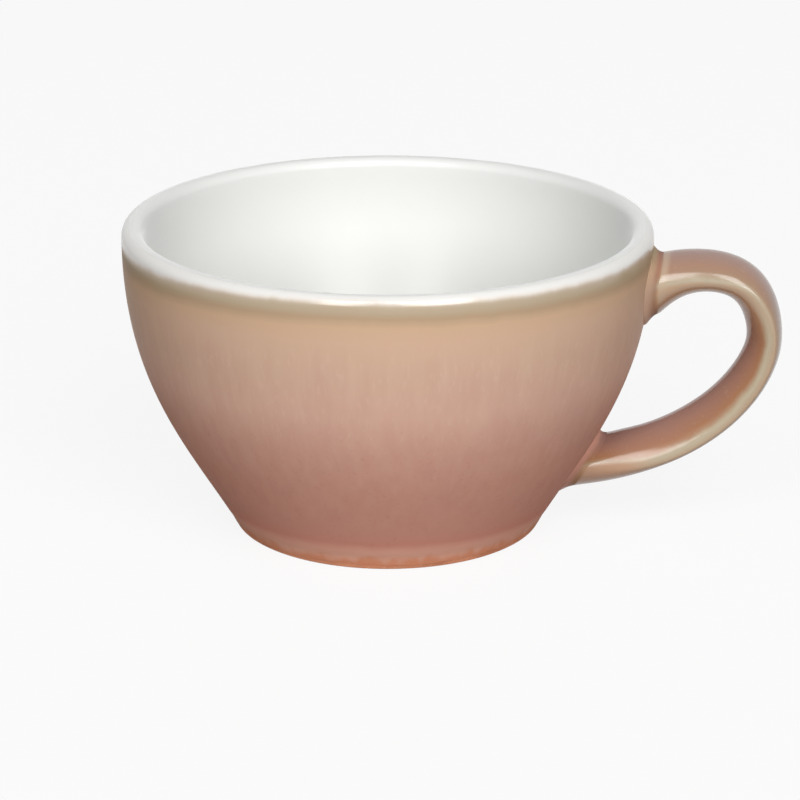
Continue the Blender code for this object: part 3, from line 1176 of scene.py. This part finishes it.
@dataclass
class LoopHandle:
    """The loop handle: its clay, its coat of glaze and the two slip fillets that join it to the bowl."""

    bowl: Bowl
    reach: float = 0.0262
    upper_joint_drop: float = 0.0101
    upper_joint_lean: float = math.radians(12.5)
    upper_joint_pull: float = 0.0035
    shoulder_pull: float = 0.0190
    outermost_drop: float = 0.0212
    sweep_pull: float = 0.0031
    lower_joint_pull: float = 0.0344
    lower_joint_lean: float = math.radians(10.9)
    lower_joint_height: float = 0.0125
    width: float = 0.0138
    upper_thickness: float = 0.0090
    outer_thickness: float = 0.0069
    lower_thickness: float = 0.0090
    upper_ridge_shift: float = -0.0004
    outer_ridge_shift: float = 0.0020
    lower_ridge_shift: float = 0.0027
    joint_ridge_shift: float = -0.0003
    ridge_turn: Span = (0.5, 0.95)
    joint_turn: Span = (0.80, 0.99)
    squareness: float = 1.8
    hollowness: float = 2.2
    upper_flare: float = 0.0031
    upper_flare_length: float = 0.0095
    lower_flare: float = 0.0022
    lower_flare_length: float = 0.0100
    fillet_length: float = 0.0022
    fillet_rise: float = 0.0015
    lower_fillet_rise: float = 0.0004
    fillet_spread: float = 0.0034
    fillet_sink: float = 0.0010
    fillet_step: float = 0.00004
    roll_length: float = 0.0010
    roll_depth: float = 0.00015
    seat_depth: float = 0.0002
    tilt_length: float = 0.0110
    crossing_reach: float = 0.45
    crossing_halvings: int = 36
    corners: int = 40
    stations: int = 90
    easing: int = 24
    fillet_rings: int = 10
    roll_rings: int = 4

    def __post_init__(self) -> None:
        """Work out the control points of the upper and lower curves, as (radius, height)."""
        bowl = self.bowl
        upper = bowl.wall_point(bowl.wall_at(bowl.cup_height - self.upper_joint_drop))
        lower = bowl.wall_point(bowl.wall_at(self.lower_joint_height))
        outermost = Vector((
            bowl.rim_radius + self.reach - self.outer_thickness / 2,
            bowl.cup_height - self.outermost_drop,
        ))
        upper_pull = upper + self.upper_joint_pull * heading(self.upper_joint_lean)
        lower_pull = lower + self.lower_joint_pull * heading(self.lower_joint_lean)
        up = Vector((0.0, 1.0))
        self.spans = (
            (upper, upper_pull, outermost + self.shoulder_pull * up, outermost),
            (outermost, outermost - self.sweep_pull * up, lower_pull, lower),
        )

    def fade(self, distance: float, length: float) -> float:
        """Return 1 at the wall, falling along a hollow curve to 0 at a length away from it."""
        return max(0.0, 1 - max(0.0, distance) / length) ** self.hollowness

    def centre(self, u: float) -> tuple[Vector, Vector]:
        """Return the centreline at u, from 0 at the upper joint over 1 at the outermost point to 2.

        Args:
            u: The place along the handle. It may run a little past either joint.

        Returns:
            The centre and the direction that the handle runs in.
        """
        ends = self.spans[0 if u < 1 else 1]
        along = u if u < 1 else u - 1
        t = min(max(along, 0.0), 1.0)
        slope = bezier_change(ends, t) / (2 * SLOPE_STEP)
        return bezier(ends, t) + (along - t) * slope, slope.normalized()

    def ridge_shift(self, u: float) -> float:
        """Return how far the handle's widest line lies outside its centreline.

        Args:
            u: The place along the handle.

        Returns:
            The distance, below 0 on the finger side.
        """
        upper, outer, lower = self.upper_ridge_shift, self.outer_ridge_shift, self.lower_ridge_shift
        if u < 1:
            return upper + (outer - upper) * soft_step(u, *self.ridge_turn)
        joint = self.joint_ridge_shift
        along = min(u - 1, 1.0)
        return outer + (lower - outer) * along + (joint - lower) * soft_step(along, *self.joint_turn)

    def side(self, u: float, finger_side: bool) -> Vector:
        """Return a point on a side of the handle, which flares out near a joint on the finger side.

        Args:
            u: The place along the handle.
            finger_side: Whether it is the finger side, and not the outer one.

        Returns:
            The point as (radius, height).
        """
        if u < 1:
            thickness, flare, length = self.upper_thickness, self.upper_flare, self.upper_flare_length
        else:
            thickness, flare, length = self.lower_thickness, self.lower_flare, self.lower_flare_length
        middle, run = self.centre(u)
        normal = Vector((-run.y, run.x))
        half = (self.outer_thickness + (thickness - self.outer_thickness) * abs(u - 1)) / 2
        if not finger_side:
            return middle + normal * half
        distance = self.bowl.standoff(middle.x, middle.y)
        return middle - normal * (half + flare * self.fade(distance, length))

    def crossing(self, u: float, lean: float, finger_side: bool) -> Vector:
        """Return where a cut through the handle's centre meets one of its sides.

        Args:
            u: The place of the centre along the handle.
            lean: The angle that the cut is square to.
            finger_side: Whether it is the finger side, and not the outer one.

        Returns:
            The point as (radius, height).
        """
        middle = self.centre(u)[0]
        axis = heading(lean)
        low, high = u - self.crossing_reach, u + self.crossing_reach

        def short(place: float) -> bool:
            """Return whether the side still lies short of the cut at a place."""
            return (self.side(place, finger_side) - middle).dot(axis) < 0

        return self.side(search(low, high, short, self.crossing_halvings), finger_side)

    def ring(self, u: float) -> Ring:
        """Return one ring of the handle.

        Args:
            u: The place along the handle.

        Returns:
            The ring, tilted to lie along the wall near a joint.
        """
        bowl = self.bowl
        middle, run = self.centre(u)
        lean = math.atan2(run.y, run.x)
        if lean > math.pi / 2:
            lean -= 2 * math.pi
        wall = bowl.wall_run(bowl.wall_at(middle.y))
        square = math.atan2(-wall.x, wall.y) - (0.0 if u < 1 else math.pi)
        distance = bowl.standoff(middle.x, middle.y)
        lean += (square - lean) * (1 - soft_step(distance, self.fillet_length, self.tilt_length))
        outer = self.crossing(u, lean, False)
        inner = self.crossing(u, lean, True)
        halfway = (outer + inner) / 2
        shift = self.ridge_shift(u) + (middle - halfway).dot(outward(lean))
        centre = halfway + Vector((bowl.axis, 0.0))
        return Ring(centre, lean, (outer - inner).length, self.width, shift)

    def joint_place(self, joint: Joint, distance: float) -> float:
        """Return the u at which the handle's centre stands a distance off the wall at a joint."""
        return search(*joint.value, lambda u: self.bowl.standoff(*self.centre(u)[0]) < distance)

    def fit_to_wall(self, piece: bpy.types.Object) -> None:
        """Bend a piece's ends round the bowl, and write each point's distance from the wall to it.

        Args:
            piece: The drawn-out piece.
        """
        bowl = self.bowl
        marks = piece.data.attributes.new("standoff", "FLOAT", "POINT")
        for mark, vertex in zip(marks.data, piece.data.vertices):
            away = bowl.standoff(vertex.co.x - bowl.axis, vertex.co.z)
            radius = bowl.wall_point(bowl.wall_at(vertex.co.z)).x
            bend = radius - math.sqrt(radius**2 - vertex.co.y**2)
            vertex.co.x -= bend * (1 - soft_step(away, self.fillet_length, self.tilt_length))
            mark.value = away

    def rings_between(self, distance: float) -> list[Ring]:
        """Return the handle's rings, closer together near the joints, from one to the other.

        Args:
            distance: How far off the wall the first and last of them stand.

        Returns:
            The rings in order from the upper joint.
        """
        first = self.joint_place(Joint.UPPER, distance)
        last = self.joint_place(Joint.LOWER, distance)
        shares = [(1 - math.cos(angle)) / 2 for angle in spaced(0.0, math.pi, self.stations)]
        rings = [self.ring(first + (last - first) * share) for share in shares]
        for _ in range(self.easing):
            eased = [between(*three) for three in zip(rings, rings[1:], rings[2:])]
            rings = [rings[0], *eased, rings[-1]]
        return rings

    def rolled(self, joint: Joint) -> list[Ring]:
        """Return the rings that roll an end of the coat over towards the clay.

        Args:
            joint: The joint that the end lies at.

        Returns:
            The rings in order from the coat's end.
        """
        rings = []
        for share in spaced(0.0, 1.0, self.roll_rings)[1:]:
            end = self.ring(self.joint_place(joint, self.fillet_length - self.roll_length * share))
            rings.append(grown(end, -2 * self.roll_depth * share**2))
        return rings

    def build_core(self) -> bpy.types.Object:
        """Build the handle's clay, which its coat hides.

        Returns:
            The clay, seated on the bowl's clay.
        """
        shrink = 2 * (self.bowl.glaze_thickness + self.bowl.glaze_gap)
        rings = [grown(ring, -shrink) for ring in self.rings_between(-self.seat_depth)]
        piece = Bench.draw_out("clay_handle", rings, self.corners, self.squareness, capped=True)
        self.fit_to_wall(piece)
        return piece

    def build_skin(self, name: str, rings: Sequence[Ring]) -> bpy.types.Object:
        """Return a skin of glaze over the handle or a joint.

        Args:
            name: The piece's name.
            rings: The rings of its outside.

        Returns:
            The smoothed skin.
        """
        piece = Bench.draw_out(name, rings, self.corners, self.squareness)
        Bench.thicken(piece, self.bowl.glaze_thickness)
        self.fit_to_wall(piece)
        Bench.apply(piece, "SUBSURF", levels=1, render_levels=1)
        return piece

    def build_coat(self) -> bpy.types.Object:
        """Build the handle's coat of glaze.

        Returns:
            The coat, its two ends rolled over where the fillets start.
        """
        rings = self.rings_between(self.fillet_length)
        rolled = [*self.rolled(Joint.UPPER)[::-1], *rings, *self.rolled(Joint.LOWER)]
        return self.build_skin("handle_coat", rolled)

    def build_fillet(self, joint: Joint, name: str) -> bpy.types.Object:
        """Return one slip fillet, a hollow curve from under the handle's end down to the bowl's wall.

        Args:
            joint: The joint that it fills.
            name: The piece's name.

        Returns:
            The fillet's skin.
        """
        inner_rise = self.fillet_rise
        outer_rise = self.fillet_rise if joint is Joint.UPPER else self.lower_fillet_rise
        rings = []
        for k in range(-1, self.fillet_rings + 1):
            distance = self.fillet_length - (self.fillet_length + self.fillet_sink) * k / self.fillet_rings
            end = self.ring(self.joint_place(joint, distance))
            hollow = self.fade(distance, self.fillet_length)
            thickness = end.thickness + (inner_rise + outer_rise) * hollow - 2 * self.fillet_step
            width = end.width + 2 * (self.fillet_spread * hollow - self.fillet_step)
            drift = (outer_rise - inner_rise) * hollow / 2
            centre = end.centre + drift * outward(end.lean)
            rings.append(Ring(centre, end.lean, thickness, width, end.shift - drift))
        return self.build_skin(name, rings)

    def make(self, clay: bpy.types.Material, coat: bpy.types.Material, slip: bpy.types.Material) -> None:
        """Build and dress the handle's pieces.

        Args:
            clay: The bare stoneware.
            coat: The reactive glaze as it breaks on the handle.
            slip: The same glaze on the fillets.
        """
        dress(self.build_core(), clay, "handle")
        dress(self.build_coat(), coat, "handle_glaze")
        dress(self.build_fillet(Joint.UPPER, "upper_fillet"), slip, "upper_slip_fillet")
        dress(self.build_fillet(Joint.LOWER, "lower_fillet"), slip, "lower_slip_fillet")


def dress(piece: bpy.types.Object, finish: bpy.types.Material, node: str) -> None:
    """Finish a piece: shade it, give it its material and tie it to the frame.

    Args:
        piece: The piece.
        finish: Its material.
        node: The CAD node that it stands for.
    """
    Bench.smooth(piece)
    piece.data.materials.clear()
    piece.data.materials.append(finish)
    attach(piece, BODY)
    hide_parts(node)
    LOG.info("%s: %d faces, stands for %s", piece.name, len(piece.data.polygons), node)


class Softbox(NamedTuple):
    """A soft light: its turn from the camera's side, height angle, width, height and power.

    A light that isn't mirrored fills the shade without showing as a highlight in the glaze.
    """

    name: str
    turn: float
    rise: float
    width: float
    height: float
    power: float
    mirrored: bool = True


@dataclass
class Studio:
    """The table, the soft lights, the plain surroundings and the camera."""

    target: Vector
    azimuth: float = math.radians(6.5)
    elevation: float = math.radians(18.243)
    distance: float = 0.60
    lens: float = 133.44
    sensor: float = 36.0
    shift: tuple[float, float] = (0.01549, -0.06241)
    floor_size: float = 12.0
    floor_drop: float = 0.0001
    surroundings: float = 0.045
    lamp_distance: float = 2.5
    softboxes: tuple[Softbox, ...] = (
        Softbox("right_softbox", math.radians(22), math.radians(34), 1.20, 2.20, 46.0),
        Softbox("left_softbox", math.radians(-20), math.radians(33), 0.70, 2.20, 31.0),
        Softbox("back_softbox", math.radians(180), math.radians(15), 1.60, 1.00, 14.0, mirrored=False),
    )

    def aim(self, made: bpy.types.Object, azimuth: float, elevation: float, distance: float) -> None:
        """Place a lamp or camera around the cup, facing the target.

        Args:
            made: The lamp or camera.
            azimuth: Where it stands, turned from the front.
            elevation: How far it is raised.
            distance: How far from the target it stands.
        """
        flat = math.cos(elevation)
        back = Vector((math.sin(azimuth) * flat, -math.cos(azimuth) * flat, math.sin(elevation)))
        made.location = self.target + distance * back
        made.rotation_euler = back.to_track_quat("Z", "Y").to_euler()
        bpy.context.scene.collection.objects.link(made)

    def build_floor(self) -> None:
        """Lay the table."""
        bpy.ops.object.select_all(action="DESELECT")
        bpy.ops.mesh.primitive_plane_add(size=self.floor_size, location=(0.0, 0.0, -self.floor_drop))
        floor = bpy.context.active_object
        floor.name = "table"
        floor.data.materials.append(FloorFinish().make())

    def build_lights(self) -> None:
        """Hang the softboxes."""
        for box in self.softboxes:
            lamp = bpy.data.lights.new(box.name, "AREA")
            lamp.shape = "RECTANGLE"
            lamp.size = box.width
            lamp.size_y = box.height
            lamp.energy = box.power
            made = bpy.data.objects.new(box.name, lamp)
            made.visible_glossy = box.mirrored
            self.aim(made, self.azimuth + box.turn, box.rise, self.lamp_distance)

    def build_surroundings(self) -> None:
        """Set up a dim world that a camera and reflections see as white."""
        world = bpy.data.worlds.new("surroundings")
        bpy.context.scene.world = world
        world.use_nodes = True
        sheet = Sheet(world.node_tree)
        dim = sheet.node("ShaderNodeBackground", None, {"Color": WHITE, "Strength": self.surroundings})
        white = sheet.node("ShaderNodeBackground", None, {"Color": WHITE, "Strength": 1.0})
        both = sheet.node("ShaderNodeMixShader", None, {0: sheet.seen(), 1: dim, 2: white})
        sheet.close("ShaderNodeOutputWorld", both)

    def build_camera(self) -> None:
        """Set up the camera at the photograph's angle."""
        view = bpy.data.cameras.new("view")
        view.lens = self.lens
        view.sensor_width = self.sensor
        view.shift_x, view.shift_y = self.shift
        camera = bpy.data.objects.new("view", view)
        self.aim(camera, self.azimuth, self.elevation, self.distance)
        bpy.context.scene.camera = camera

    def make(self) -> None:
        """Build the studio."""
        self.build_floor()
        self.build_lights()
        self.build_surroundings()
        self.build_camera()
        bpy.context.scene.view_settings.view_transform = "Standard"


def main() -> None:
    """Load the frame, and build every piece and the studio."""
    logging.basicConfig(level=logging.INFO, format="%(name)s: %(message)s")
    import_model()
    low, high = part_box("liner_glaze")
    axis = (low.x + high.x) / 2

    bowl = Bowl(axis)
    clay = StonewareFinish().make()
    reactive = ReactiveFinish(axis, bowl.rim_radius, bowl.cup_height)
    bowl.make(clay, reactive.make(), LinerFinish().make())
    slip = HandleFinish(reactive, name="reactive_glaze_joint", ior=1.03)
    LoopHandle(bowl).make(clay, HandleFinish(reactive).make(), slip.make())
    Studio(Vector((axis, 0.0, LOOK_HEIGHT))).make()


if __name__ == "__main__":
    main()
